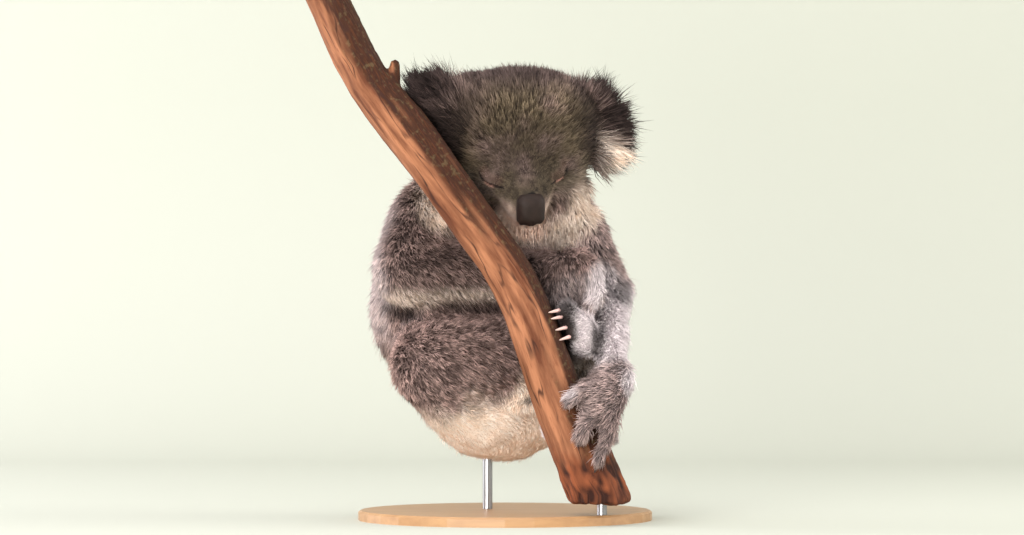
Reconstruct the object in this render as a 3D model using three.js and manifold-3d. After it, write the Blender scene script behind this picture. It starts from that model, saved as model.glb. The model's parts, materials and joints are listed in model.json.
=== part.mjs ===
// A small koala asleep against a sloping branch, life size, on a plain display stand.
// Units are millimetres. +Z is up and the animal's face looks along -Y, so its left is on the +X side.
// Places are measured from a point on the floor below the branch's plane, and the finished group is moved
// so that its origin is the middle of the stand's underside. The solids reach out to the tips of the coat.
import * as THREE from "three";
import { mergeVertices } from "three/addons/utils/BufferGeometryUtils.js";
import Module from "manifold-3d";

const wasm = await Module();
wasm.setup();

const V = (x, y, z) => new THREE.Vector3(x, y, z);
const { degToRad, clamp, lerp } = THREE.MathUtils;

// ---------------------------------------------------------------- driving dimensions

const GAP = 0.3; // clear space left between pieces that touch

// The stand: an oval plate and two upright rods.
const STAND_AT = V(0, 85, 0);
const BASE = { halfX: 150, halfY: 130, thick: 10, bevel: 2, sides: 32 };
const ROD_RADIUS = 5;
const RODS = {
  body: { x: -18, y: 100, top: 80 },
  branch: { x: 97, y: 0, top: 38 },
};

// The branch: its centre line from the top cut to the bottom, with the radius at each point.
const BRANCH = [
  { at: V(-186, 15, 541), r: 20 },
  { at: V(-177, 13, 525), r: 20.5 },
  { at: V(-138, 7, 445), r: 22.5 },
  { at: V(-103, 3, 400), r: 25.5 },
  { at: V(-61, 0, 343), r: 24 },
  { at: V(-27, 0, 296), r: 23.5 },
  { at: V(1, 0, 258), r: 23.5 },
  { at: V(23, 0, 214), r: 24 },
  { at: V(41, 0, 163), r: 25.5 },
  { at: V(56, 0, 120), r: 27.5 },
  { at: V(78, 0, 66), r: 30 },
  { at: V(99, 0, 14), r: 30 },
];
const BRANCH_SIDES = 12;
const BRANCH_RINGS = 22;
const BRANCH_CUT = 22; // height of the level cut at its lower end

// The head's centre, and how far it is nodded forward, turned to its left and tipped over to its left.
const HEAD_AT = V(9, 68, 388);
const HEAD_NOD = 40;
const HEAD_TURN = 17;
const HEAD_TIP = 7;

// ---------------------------------------------------------------- fields
// A field gives the signed distance from a point to a form: negative inside it, positive outside.

const ball = (centre, radii, turn = null) => {
  const back = turn && turn.clone().invert();
  return (p) => {
    const q = p.clone().sub(centre);
    if (back) q.applyQuaternion(back);
    const near = Math.hypot(q.x / radii.x, q.y / radii.y, q.z / radii.z);
    const steep = Math.hypot(q.x / radii.x ** 2, q.y / radii.y ** 2, q.z / radii.z ** 2);
    return steep < 1e-9 ? -Math.min(radii.x, radii.y, radii.z) : (near * (near - 1)) / steep;
  };
};

const limb = (a, b, ra, rb) => {
  const ab = b.clone().sub(a);
  return (p) => {
    const t = clamp(p.clone().sub(a).dot(ab) / ab.lengthSq(), 0, 1);
    return p.distanceTo(a.clone().addScaledVector(ab, t)) - lerp(ra, rb, t);
  };
};

const soft = (k, ...fields) => (p) =>
  fields.reduce((sum, field) => {
    const d = field(p);
    const h = Math.max(k - Math.abs(sum - d), 0) / k;
    return Math.min(sum, d) - (h * h * k) / 4;
  }, 1e3);

const within = (field, bound) => (p) => Math.max(field(p), bound(p));

// ---------------------------------------------------------------- meshes and solids

const bare = (geometry) => {
  const copy = geometry.clone();
  copy.deleteAttribute("normal");
  copy.deleteAttribute("uv");
  return mergeVertices(copy, 1e-3);
};

const solidOf = (geometry) =>
  new wasm.Manifold(
    new wasm.Mesh({
      numProp: 3,
      vertProperties: geometry.attributes.position.array,
      triVerts: new Uint32Array(geometry.index.array),
    }),
  );

const geometryOf = (solid) => {
  const mesh = solid.getMesh();
  const geometry = new THREE.BufferGeometry();
  geometry.setAttribute("position", new THREE.BufferAttribute(mesh.vertProperties, 3));
  geometry.setIndex(new THREE.BufferAttribute(mesh.triVerts, 1));
  geometry.computeVertexNormals();
  return geometry;
};

// Moves every point of a geometry to the place that a function gives for it.
function reshape(geometry, place) {
  const shaped = bare(geometry);
  const points = shaped.attributes.position;
  const p = V(0, 0, 0);
  for (let i = 0; i < points.count; i++) {
    points.setXYZ(i, ...place(p.fromBufferAttribute(points, i)).toArray());
  }
  return solidOf(shaped);
}

// How far a ray from inside a form runs before it leaves it.
function reachOf(field, from, way) {
  const STEP = 3;
  const FURTHEST = 260;
  const at = (t) => field(from.clone().addScaledVector(way, t));
  let out = STEP;
  while (out < FURTHEST && at(out) < 0) out += STEP;
  let low = out - STEP;
  for (let i = 0; i < 12; i++) {
    const middle = (low + out) / 2;
    if (at(middle) < 0) low = middle;
    else out = middle;
  }
  return low;
}

// Lays a round-ended template over a form: each point runs out from the line a-b to the form's surface.
function wrap({ from: a, to: b, caps, around, rings, field }, swell) {
  const axis = b.clone().sub(a);
  const long = axis.length();
  const turn = new THREE.Quaternion().setFromUnitVectors(V(0, 1, 0), axis.clone().normalize());
  return reshape(new THREE.CapsuleGeometry(1, long, caps, around, rings), (p) => {
    const along = clamp(p.y, -long / 2, long / 2);
    const way = V(p.x, p.y - along, p.z).normalize().applyQuaternion(turn);
    const start = a.clone().addScaledVector(axis, 0.5 + along / long);
    return start.addScaledVector(way, reachOf(field, start, way) + swell);
  });
}

// A round-ended tapering form along a curve, such as a finger or a claw.
function taper({ points, radii, around, caps = 2 }, swell) {
  const curve = new THREE.CatmullRomCurve3(points);
  const side = curve.getTangentAt(0.5).cross(V(0.3, 0.2, 0.9)).normalize();
  return reshape(new THREE.CapsuleGeometry(1, 2, caps, around, 2), (p) => {
    const t = clamp(p.y / 2 + 0.5, 0, 1);
    const beyond = p.y - clamp(p.y, -1, 1);
    const r = lerp(radii[0], radii[1], t) + swell;
    const ahead = curve.getTangentAt(t);
    const up = side.clone().cross(ahead).normalize();
    const across = ahead.clone().cross(up);
    return curve
      .getPointAt(t)
      .addScaledVector(ahead, beyond * r)
      .addScaledVector(across, p.x * r)
      .addScaledVector(up, p.z * r);
  });
}

// ---------------------------------------------------------------- the branch

const branchLine = new THREE.CatmullRomCurve3(BRANCH.map((b) => b.at));
const FRONT = V(0, -1, 0);

// The line's point, directions and radius at a share of its length.
function branchAt(share) {
  const ahead = branchLine.getTangentAt(share);
  const front = FRONT.clone().addScaledVector(ahead, -FRONT.dot(ahead)).normalize();
  const t = branchLine.getUtoTmapping(share) * (BRANCH.length - 1);
  const i = Math.min(Math.floor(t), BRANCH.length - 2);
  return {
    point: branchLine.getPointAt(share),
    front,
    side: front.clone().cross(ahead),
    radius: lerp(BRANCH[i].r, BRANCH[i + 1].r, t - i),
  };
}

// A point beside the branch at a height: angle 0 is in front of it, 90 on its +X side and 180 behind it.
function beside(height, angle, lift) {
  let [above, below] = [0, 1];
  for (let i = 0; i < 20; i++) {
    const middle = (above + below) / 2;
    if (branchLine.getPointAt(middle).z > height) above = middle;
    else below = middle;
  }
  const { point, front, side, radius } = branchAt(above);
  const a = degToRad(angle);
  return point
    .addScaledVector(front, Math.cos(a) * (radius + lift))
    .addScaledVector(side, Math.sin(a) * (radius + lift));
}

// Shallow furrows and swellings run along the bark.
const barkRelief = (share, angle) =>
  1 + 0.03 * Math.sin(3 * angle + 9 * share) + 0.022 * Math.sin(5 * angle - 14 * share);

function branch(swell) {
  const template = new THREE.CylinderGeometry(1, 1, 1, BRANCH_SIDES, BRANCH_RINGS);
  const stem = reshape(template, (p) => {
    const share = clamp(0.5 - p.y, 0, 1);
    const { point, front, side, radius } = branchAt(share);
    const angle = Math.atan2(p.x, p.z);
    const r = Math.hypot(p.x, p.z) * (radius * barkRelief(share, angle) + swell);
    return point
      .addScaledVector(front, Math.cos(angle) * r)
      .addScaledVector(side, Math.sin(angle) * r);
  });
  const foot = beside(429, 90, -6);
  const stub = [foot, foot.clone().add(V(2, -1, 9)), foot.clone().add(V(3, -2, 21))];
  const twig = taper({ points: stub, radii: [8, 6], around: 7 }, swell);
  return stem.add(twig).trimByPlane([0, 0, 1], BRANCH_CUT - swell);
}

// ---------------------------------------------------------------- the body's forms

const headTurn = new THREE.Quaternion().setFromEuler(
  new THREE.Euler(degToRad(HEAD_NOD), degToRad(HEAD_TIP), degToRad(HEAD_TURN), "YXZ"),
);
const inHead = (x, y, z) => V(x, y, z).applyQuaternion(headTurn).add(HEAD_AT);
const headBall = (x, y, z, rx, ry, rz) => ball(inHead(x, y, z), V(rx, ry, rz), headTurn);

const headForm = soft(
  12,
  headBall(0, 6, 5, 70, 66, 61),
  headBall(37, 12, 26, 38, 40, 37),
  headBall(-37, 12, 29, 38, 40, 37),
  headBall(39, -20, -25, 36, 38, 33),
  headBall(-39, -20, -25, 36, 38, 33),
  headBall(0, -46, -10, 31, 32, 27),
  headBall(0, -62, -25, 27, 27, 24),
  headBall(0, -60, -43, 20, 23, 13),
);

const trunkForm = soft(
  30,
  ball(V(-38, 120, 282), V(90, 78, 78)),
  ball(V(-51, 124, 214), V(92, 80, 92)),
  ball(V(-6, 108, 138), V(84, 80, 83)),
);

const nape = soft(
  20,
  limb(inHead(0, 18, -34), V(-6, 112, 316), 46, 62),
  ball(V(50, 90, 313), V(44, 38, 42)),
);
const neckForm = within(soft(26, nape, headForm, trunkForm), (p) => nape(p) - 10);

const ARMS = {
  right: {
    shoulder: V(-74, 78, 306),
    elbow: V(-94, 52, 256),
    wrist: V(36, 50, 250),
    radii: [46, 41, 25],
  },
  left: {
    shoulder: V(68, 112, 300),
    elbow: V(106, 108, 232),
    wrist: V(108, 10, 158),
    radii: [38, 27, 17],
  },
};

const LEGS = {
  right: {
    hip: V(-14, 90, 132),
    knee: V(-66, 50, 160),
    ankle: V(60, 54, 180),
    radii: [60, 52, 29],
  },
  left: {
    hip: V(20, 112, 130),
    knee: V(84, 108, 160),
    ankle: V(80, 62, 106),
    radii: [56, 36, 20],
  },
};

// ---------------------------------------------------------------- parts, in the order they give way

const MATERIALS = {
  fur: new THREE.MeshStandardMaterial({ color: 0x84776f, roughness: 0.95 }),
  bark: new THREE.MeshStandardMaterial({ color: 0xa5694c, roughness: 0.85 }),
  leather: new THREE.MeshStandardMaterial({ color: 0x3a3232, roughness: 0.6 }),
  eye: new THREE.MeshStandardMaterial({ color: 0x1c1412, roughness: 0.15 }),
  claw: new THREE.MeshStandardMaterial({ color: 0x4a3a34, roughness: 0.4 }),
  plate: new THREE.MeshStandardMaterial({ color: 0xc9a77c, roughness: 0.5 }),
  steel: new THREE.MeshStandardMaterial({ color: 0xb9bcc0, roughness: 0.3, metalness: 1 }),
};

// Each part is a function that makes its solid, swollen by a given amount.
const parts = [];
const part = (name, material, make) => parts.push({ name, material, make });

for (const [name, rod] of Object.entries(RODS)) {
  part("stand_rod_" + name, "steel", (swell) => {
    const bottom = BASE.thick + GAP - swell;
    const long = rod.top + swell - bottom;
    return solidOf(
      bare(new THREE.CylinderGeometry(ROD_RADIUS + swell, ROD_RADIUS + swell, long, 16))
        .rotateX(Math.PI / 2)
        .translate(rod.x, rod.y, bottom + long / 2),
    );
  });
}

part("stand_base", "plate", () => {
  const { halfX, halfY, thick, bevel, sides } = BASE;
  const profile = [
    new THREE.Vector2(0, 0),
    new THREE.Vector2(1, 0),
    new THREE.Vector2(1, thick - bevel),
    new THREE.Vector2(1 - bevel / halfY, thick),
    new THREE.Vector2(0, thick),
  ];
  return solidOf(
    bare(new THREE.LatheGeometry(profile, sides))
      .rotateX(Math.PI / 2)
      .scale(halfX, halfY, 1)
      .translate(STAND_AT.x, STAND_AT.y, 0),
  );
});

part("branch", "bark", branch);

// The nose: a bare pad with square shoulders, leaning back up the muzzle.
const NOSE = { at: inHead(0, -87, -20), x: 14, y: 11, z: 18, lean: 24, squareness: 0.72 };
part("nose", "leather", (swell) => {
  const lean = new THREE.Quaternion().setFromAxisAngle(V(1, 0, 0), degToRad(-NOSE.lean));
  const turn = headTurn.clone().multiply(lean);
  const square = (v) => Math.sign(v) * Math.abs(v) ** NOSE.squareness;
  return reshape(new THREE.SphereGeometry(1, 12, 8), (p) =>
    V(square(p.x) * (NOSE.x + swell), p.y * (NOSE.y + swell), square(p.z) * (NOSE.z + swell))
      .applyQuaternion(turn)
      .add(NOSE.at),
  );
});

// The eyes lie almost wholly under their closed lids.
const EYE = { radius: 8, aside: 34, ahead: 49, below: 6 };
for (const [name, side] of [["left", 1], ["right", -1]]) {
  part("eye_" + name, "eye", (swell) =>
    solidOf(
      bare(new THREE.SphereGeometry(EYE.radius + swell, 10, 6)).translate(
        ...inHead(EYE.aside * side, -EYE.ahead, -EYE.below).toArray(),
      ),
    ),
  );
}

part("head", "fur", (swell) =>
  wrap(
    { from: inHead(0, 20, 0), to: inHead(0, -46, -18), caps: 7, around: 24, rings: 3, field: headForm },
    swell,
  ),
);

// The ears: deep round cups with long fur, standing out sideways. The right one is pricked a little higher.
const EARS = {
  left: { at: inHead(86, 4, 4), spread: 35, tilt: -22 },
  right: { at: inHead(-79, 4, 33), spread: 37, tilt: -20 },
};
for (const [side, { at, spread, tilt }] of Object.entries(EARS)) {
  const turn = new THREE.Quaternion().setFromEuler(
    new THREE.Euler(degToRad(14), degToRad(tilt), degToRad(Math.sign(at.x) * 12)),
  );
  const place = (x, y, z) => V(x, y, z).applyQuaternion(turn).add(at);
  const cup = ball(at, V(spread, 15, 49), turn);
  const hollow = ball(place(0, -15, -2), V(spread * 0.62, 12, 30), turn);
  const field = (p) => Math.max(cup(p), -hollow(p));
  part("ear_" + side, "fur", (swell) =>
    wrap({ from: place(0, 5, -20), to: place(0, 5, 20), caps: 3, around: 12, rings: 2, field }, swell),
  );
}

// ---- paws. Each digit is a list of places from the palm to the tip, and its claw runs on from there.

const PAWS = {
  hand_left: {
    palm: [V(110, 4, 148), V(96, -16, 126)],
    radii: [22, 27],
    digits: [
      { to: [V(92, -30, 134), beside(126, 34, 11), beside(122, 14, 9)], claw: [beside(116, 5, 2)] },
      { to: [V(100, -30, 116), beside(100, 34, 12), beside(86, 8, 9)], claw: [beside(80, 0, 2)] },
      { to: [V(106, -22, 108), beside(76, 44, 12), beside(60, 20, 9)], claw: [beside(52, 10, 2)] },
      { to: [V(98, 4, 128), beside(118, 120, 12), beside(114, 160, 9)], claw: [beside(110, 182, 2)] },
      { to: [V(100, 2, 112), beside(96, 120, 12), beside(90, 158, 9)], claw: [beside(84, 178, 2)] },
    ],
  },
  hand_right: {
    palm: [V(52, 48, 252), V(72, 42, 248)],
    radii: [27, 31],
    digits: [
      { to: [V(88, 34, 246), V(96, 24, 230), V(84, 18, 219)], claw: [V(74, 16, 217)] },
      { to: [V(84, 44, 236), V(90, 36, 222), V(78, 28, 215)], claw: [V(68, 25, 213)] },
      { to: [V(74, 52, 230), V(78, 48, 216), V(68, 40, 210)], claw: [V(59, 36, 209)] },
      { to: [V(52, 50, 238), beside(232, 140, 11), beside(228, 178, 9)], claw: [beside(224, 198, 2)] },
      { to: [V(58, 54, 228), beside(216, 140, 14), beside(210, 172, 9)], claw: [beside(206, 192, 2)] },
    ],
  },
  foot_right: {
    palm: [V(70, 40, 184), V(76, 20, 190)],
    radii: [22, 22],
    digits: [
      { to: [V(82, 8, 200), beside(203, 88, 13), beside(204, 79, 10)], claw: [beside(206, 48, 1)] },
      { to: [V(82, 8, 194), beside(197, 88, 13), beside(198, 79, 10)], claw: [beside(200, 48, 1)] },
      { to: [V(82, 8, 187), beside(187, 90, 13), beside(188, 80, 10)], claw: [beside(189, 49, 1)] },
      { to: [V(80, 12, 180), beside(178, 92, 13), beside(179, 81, 10)], claw: [beside(179, 50, 1)] },
      { to: [V(70, 34, 180), beside(174, 120, 12), beside(170, 150, 9)] },
    ],
  },
  foot_left: {
    palm: [V(82, 62, 104), beside(90, 158, 24)],
    radii: [21, 21],
    digits: [
      { to: [beside(104, 165, 18), beside(106, 196, 11), beside(106, 218, 8)], claw: [beside(104, 234, 1)] },
      { to: [beside(96, 165, 18), beside(98, 196, 11), beside(99, 220, 8)], claw: [beside(97, 236, 1)] },
      { to: [beside(86, 165, 18), beside(86, 196, 11), beside(85, 216, 8)], claw: [beside(82, 231, 1)] },
      { to: [beside(78, 165, 18), beside(74, 194, 11), beside(73, 212, 8)], claw: [beside(70, 227, 1)] },
      { to: [beside(82, 150, 18), beside(74, 126, 11), beside(72, 106, 9)] },
    ],
  },
};
const DIGIT_RADII = [11.5, 8.5];
const CLAW_RADII = [2.9, 0.9];

for (const [name, { palm, radii, digits }] of Object.entries(PAWS)) {
  digits.forEach(({ to, claw }, i) => {
    if (!claw) return;
    const tip = to.at(-1);
    const root = tip.clone().lerp(claw[0], 0.3);
    part(`claw_${name}_${i + 1}`, "claw", (swell) =>
      taper({ points: [root, ...claw], radii: CLAW_RADII, around: 5, caps: 1 }, swell),
    );
  });
  const [heel, sole] = palm;
  const palmForm = limb(heel, sole, ...radii);
  part(name, "fur", (swell) => {
    const pad = { from: heel, to: sole, caps: 2, around: 10, rings: 2, field: palmForm };
    return digits.reduce(
      (paw, { to }) => paw.add(taper({ points: to, radii: DIGIT_RADII, around: 6 }, swell)),
      wrap(pad, swell),
    );
  });
}

// ---- limbs. Each is one bent form, cut in two at its joint by the plane that halves the bend.

const LIMBS = [
  ...Object.entries(ARMS).map(([side, { shoulder, elbow, wrist, radii }]) => ({
    names: ["upper_arm_" + side, "forearm_" + side],
    joints: [shoulder, elbow, wrist],
    radii,
    blend: 25,
  })),
  ...Object.entries(LEGS).map(([side, { hip, knee, ankle, radii }]) => ({
    names: ["thigh_" + side, "lower_leg_" + side],
    joints: [hip, knee, ankle],
    radii,
    blend: 20,
  })),
].map((bent) => {
  const [root, bend, end] = bent.joints;
  const [atRoot, atBend, atEnd] = bent.radii;
  const [down, on] = [bend.clone().sub(root).normalize(), end.clone().sub(bend).normalize()];
  const form = soft(10, limb(root, bend, atRoot, atBend), limb(bend, end, atBend, atEnd));
  return { ...bent, form, halving: down.add(on).normalize() };
});

for (const { names, joints, radii, form, halving } of LIMBS) {
  const [, bend, end] = joints;
  const field = within(form, limb(bend, end, radii[1] + 4, radii[2]));
  part(names[1], "fur", (swell) =>
    wrap({ from: bend, to: end, caps: 3, around: 12, rings: 3, field }, swell).trimByPlane(
      halving.toArray(),
      halving.dot(bend) - swell,
    ),
  );
}

part("trunk", "fur", (swell) =>
  wrap(
    { from: V(-24, 112, 142), to: V(-42, 122, 280), caps: 4, around: 20, rings: 5, field: trunkForm },
    swell,
  ),
);

for (const { names, joints, radii, blend, form, halving } of LIMBS) {
  const [root, bend] = joints;
  const field = within(soft(blend, form, trunkForm), limb(root, bend, radii[0] + 12, radii[1] + 6));
  part(names[0], "fur", (swell) =>
    wrap({ from: root, to: bend, caps: 3, around: 12, rings: 2, field }, swell).trimByPlane(
      halving.clone().negate().toArray(),
      GAP - swell - halving.dot(bend),
    ),
  );
}

part("neck", "fur", (swell) =>
  wrap(
    { from: V(14, 92, 348), to: V(14, 104, 318), caps: 3, around: 14, rings: 1, field: neckForm },
    swell,
  ),
);

// ---------------------------------------------------------------- cutting and joining

const overlaps = (a, b) => {
  const [p, q] = [a.boundingBox(), b.boundingBox()];
  return [0, 1, 2].every((i) => p.min[i] < q.max[i] && q.min[i] < p.max[i]);
};

const largest = (solid) =>
  solid.decompose().reduce((best, piece) => (piece.volume() > best.volume() ? piece : best));

const group = new THREE.Group();
group.name = "koala";

const cutters = parts.map(({ make }) => make(GAP));

parts.forEach(({ name, material, make }, i) => {
  const solid = cutters
    .slice(0, i)
    .reduce((rest, cutter) => (overlaps(rest, cutter) ? rest.subtract(cutter) : rest), make(0));
  const geometry = geometryOf(largest(solid));
  geometry.translate(-STAND_AT.x, -STAND_AT.y, 0);
  const mesh = new THREE.Mesh(geometry, MATERIALS[material].clone());
  mesh.name = name;
  group.add(mesh);
});

export default group;
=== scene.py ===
"""The looks of a koala asleep on a branch: one skin over the nodes of flesh, a coat of mesh tufts that
follows the lie of the fur, bark, claws, a bare nose, closed eyes, and a plain stand. Lengths named _MM are
in millimetres, and everything else is in metres, in the frame's own axes."""

import json
import math

import bmesh
import bpy
import numpy as np
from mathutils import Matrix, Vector
from mathutils.bvhtree import BVHTree
from mathutils.kdtree import KDTree


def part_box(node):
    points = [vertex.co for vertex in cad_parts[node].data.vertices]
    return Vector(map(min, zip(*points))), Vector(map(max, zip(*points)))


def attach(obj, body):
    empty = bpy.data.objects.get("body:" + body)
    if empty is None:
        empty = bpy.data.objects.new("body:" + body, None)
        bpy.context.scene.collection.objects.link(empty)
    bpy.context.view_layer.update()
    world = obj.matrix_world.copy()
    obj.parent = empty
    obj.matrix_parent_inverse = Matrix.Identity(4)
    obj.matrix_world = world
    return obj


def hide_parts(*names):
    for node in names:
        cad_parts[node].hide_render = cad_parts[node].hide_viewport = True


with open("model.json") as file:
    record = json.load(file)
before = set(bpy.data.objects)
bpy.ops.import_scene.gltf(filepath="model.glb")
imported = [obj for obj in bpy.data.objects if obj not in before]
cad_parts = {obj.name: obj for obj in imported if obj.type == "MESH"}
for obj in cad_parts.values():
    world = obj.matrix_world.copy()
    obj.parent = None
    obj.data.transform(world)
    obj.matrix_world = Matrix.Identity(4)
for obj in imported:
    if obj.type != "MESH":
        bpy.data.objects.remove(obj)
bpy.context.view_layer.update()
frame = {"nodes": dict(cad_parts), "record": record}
rng = np.random.default_rng(7)

MM = 0.001
EARS = ("ear_left", "ear_right")
EYES = ("eye_left", "eye_right")
FLESH = sorted(s["node"] for s in frame["record"]["subparts"] if s["material_slot"] == "fur")
CLAWS = sorted(s["node"] for s in frame["record"]["subparts"] if s["material_slot"] == "claw")

# ---- small tools


def unit(v):
    """The same directions with a length of one."""
    return v / np.maximum(np.linalg.norm(v, axis=-1, keepdims=True), 1e-12)


def ramp(x, start, end):
    """0 before start, 1 after end, and an even curve between."""
    t = np.clip((x - start) / (end - start), 0, 1)
    return t * t * (3 - 2 * t)


def middle(node):
    lo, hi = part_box(node)
    return np.array((lo + hi) / 2)


def read(items, key, width=3, number=np.float32):
    """A value of every point, edge or triangle of a mesh, a row for each."""
    out = np.empty(len(items) * width, number)
    items.foreach_get(key, out)
    return out.reshape(-1, width)


def coords(mesh):
    return read(mesh.vertices, "co").astype(float)


def normals(mesh):
    return read(mesh.vertices, "normal").astype(float)


def move(mesh, co):
    mesh.vertices.foreach_set("co", co.astype(np.float32).ravel())
    mesh.update()


def edges_of(mesh):
    return read(mesh.edges, "vertices", 2, np.int32)


def triangles(mesh, of="vertices"):
    """The points of each of the mesh's triangles, or its corners, which are its loops."""
    mesh.calc_loop_triangles()
    return read(mesh.loop_triangles, of, 3, np.int32)


def joined(parts):
    """The points and triangles of several bodies as those of one."""
    starts = np.cumsum([0] + [len(co) for co, _ in parts])
    faces = [tris + start for (_, tris), start in zip(parts, starts)]
    return np.concatenate([co for co, _ in parts]), np.concatenate(faces)


def tree_of(co, tris):
    return BVHTree.FromPolygons(co.tolist(), tris.tolist())


def nearest_of(places, points):
    """For each point, which of the places is nearest."""
    tree = KDTree(len(places))
    for i, p in enumerate(places.tolist()):
        tree.insert(p, i)
    tree.balance()
    return np.array([tree.find(p)[1] for p in points.tolist()])


def length_of(v):
    """The length of each row."""
    return np.linalg.norm(v, axis=-1)


def away_from(points, places):
    """How far each point is from each place."""
    return length_of(points[:, None] - places)


KEEP_FORM = (0.5, 0.51)  # the shares of a step on and back that leave a form its size


def eased(values, mesh, rounds, share=0.5, back=0.0):
    """Values at a mesh's points, drawn towards their neighbours' mean, and a little back again so that
    a form keeps its size."""
    edges = edges_of(mesh)
    here, there = np.concatenate([edges, edges[:, ::-1]]).T
    count = np.maximum(np.bincount(here, minlength=len(values)), 1)
    for _ in range(rounds):
        for part in (share, -back):
            columns = [np.bincount(here, c[there], len(values)) / count for c in values.T]
            values = values + part * (np.stack(columns, 1) - values)
    return values


def ease(mesh, rounds, share=0.5, back=0.0):
    move(mesh, eased(coords(mesh), mesh, rounds, share, back))


def new_mesh(name, co, tris):
    mesh = bpy.data.meshes.new(name)
    mesh.vertices.add(len(co))
    mesh.loops.add(tris.size)
    mesh.polygons.add(len(tris))
    mesh.vertices.foreach_set("co", np.ascontiguousarray(co, np.float32).ravel())
    mesh.loops.foreach_set("vertex_index", np.ascontiguousarray(tris, np.int32).ravel())
    mesh.polygons.foreach_set("loop_start", np.arange(0, tris.size, 3, dtype=np.int32))
    mesh.update(calc_edges=True)
    return mesh


def show(name, data):
    obj = bpy.data.objects.new(name, data)
    bpy.context.scene.collection.objects.link(obj)
    return obj


def after_modifiers(obj):
    """The object's mesh with its modifiers applied, as a plain mesh of its own."""
    graph = bpy.context.evaluated_depsgraph_get()
    mesh = bpy.data.meshes.new_from_object(obj.evaluated_get(graph))
    obj.modifiers.clear()
    obj.data = mesh
    return mesh


def belongs(obj, slot, *nodes):
    """The piece rides on the model and stands for the CAD nodes named, which are hidden. The slot is not
    used.
    """
    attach(obj, "root")
    if nodes:
        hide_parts(*nodes)
    return obj


def store(mesh, **values):
    for name, value in values.items():
        mesh.attributes.new(name, "FLOAT", "POINT").data.foreach_set("value", value.astype(np.float32))


# ---- the head's own axes

# In the solids the nose lies this far below the line straight ahead of the eyes.
NOSE_DROP = math.atan2(14, 38)
EYE_AHEAD_MM = 49
EYE_BELOW_MM = 6


def head_frame():
    left, right, nose = (middle(node) for node in (*EYES, "nose"))
    aside = unit(left - right)
    between = (left + right) / 2
    down_nose = unit(nose - between)
    over_nose = np.cross(down_nose, aside)
    ahead = math.cos(NOSE_DROP) * down_nose + math.sin(NOSE_DROP) * over_nose
    up = math.cos(NOSE_DROP) * over_nose - math.sin(NOSE_DROP) * down_nose
    centre = between - EYE_AHEAD_MM * MM * ahead + EYE_BELOW_MM * MM * up
    return centre, np.array([aside, ahead, up])


HEAD, HEAD_AXES = head_frame()


def in_head_mm(points):
    """Places as (to the animal's left, ahead, up) of the head's middle, in millimetres."""
    return (points - HEAD) @ HEAD_AXES.T / MM


def from_head_mm(aside, ahead, up):
    return HEAD + np.array([aside, ahead, up]) * MM @ HEAD_AXES


# ---- the skin

VOXEL = 2.4 * MM
BARK_VOXEL = 2.0 * MM
NOSE_VOXEL = 0.9 * MM
STEPS_IN = 7  # the skin goes in from the solids by the coat's depth in this many steps

# Rounds of evening out: the solids' joined form, each step in, and the finished skin.
FORM_ROUNDS = 50
STEP_ROUNDS = 3
SKIN_ROUNDS = 10
LIE_ROUNDS = 24
FINE_WITHIN = 0.026  # the skin is finer this near to the eyes and the nose

# For each kind of node of flesh: how deep its coat is and how long its tufts are, in millimetres, how
# many tufts grow on a square millimetre, how far the form under them is evened out, and how far the solid
# is swollen, in millimetres, to close the creases between it and the next.
BODY_COLUMNS = ("deep", "long", "dense", "even", "swell")
BODY = {
    "trunk": (11, 18, 0.44, 1.0, 2.2),
    "neck": (11, 18, 0.45, 1.0, 2.2),
    "head": (6, 9.5, 0.95, 0.6, 0.5),
    "ear": (3.2, 25, 0.8, 0.6, 0.8),
    "upper_arm": (10.5, 16, 0.5, 0.9, 2.2),
    "forearm": (8, 12.5, 0.62, 0.8, 2.0),
    "hand_right": (4.2, 12, 0.75, 0.3, 1.2),
    "hand": (3.4, 12, 0.75, 0.25, 0.5),
    "thigh": (9.5, 13, 0.62, 0.9, 2.2),
    "lower_leg": (8.5, 12.5, 0.62, 0.8, 2.0),
    "foot": (2.6, 8, 0.95, 0.25, 0.5),
}


def kind(node):
    return next(k for k in BODY if node.startswith(k))


def of_body(node, column):
    return BODY[kind(node)][BODY_COLUMNS.index(column)]


# The rod's end only fills the trunk's hollow from this height over the trunk's lowest point.
PLUG_FROM_MM = 5
FILL_SWELL_MM = 0.5


def joined_flesh():
    """All the nodes of flesh in one mesh, swollen enough to close the gaps between them, with the eyes, the
    nose and the rod's upper end to fill the hollows that they sit in."""
    parts = []
    for node in (*FLESH, *EYES, "nose", "stand_rod_body"):
        mesh = frame["nodes"][node].data
        co = coords(mesh)
        swell = of_body(node, "swell") if node in FLESH else FILL_SWELL_MM
        if node == "stand_rod_body":
            co[:, 2] = np.maximum(co[:, 2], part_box("trunk")[0].z + PLUG_FROM_MM * MM)
        parts.append((co + normals(mesh) * swell * MM, triangles(mesh)))
    return new_mesh("skin", *joined(parts))


LOOK_WITHIN = 0.03
BLEND_OVER = 3.5 * MM  # the width of the change from one node's coat to the next one's


def nearness(points):
    """How much each point belongs to each node of flesh: a row for each point, adding up to one."""
    away = np.empty((len(points), len(FLESH)))
    for i, node in enumerate(FLESH):
        mesh = frame["nodes"][node].data
        tree = tree_of(coords(mesh), triangles(mesh))
        near = (tree.find_nearest(p, LOOK_WITHIN) for p in points.tolist())
        away[:, i] = [hit[3] if hit[3] is not None else LOOK_WITHIN for hit in near]
    share = np.exp(-(away - away.min(1, keepdims=True)) / BLEND_OVER)
    return share / share.sum(1, keepdims=True)


def by_kind(share, column, power=1):
    """A value of BODY for each point, blended from those of the nodes that it belongs to."""
    return share @ np.array([of_body(node, column) ** power for node in FLESH], float)


def of_node(share, *nodes):
    return share[:, [node in nodes for node in FLESH]].sum(1)


def of_kind(share, *kinds):
    return share[:, [kind(node) in kinds for node in FLESH]].sum(1)


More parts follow.
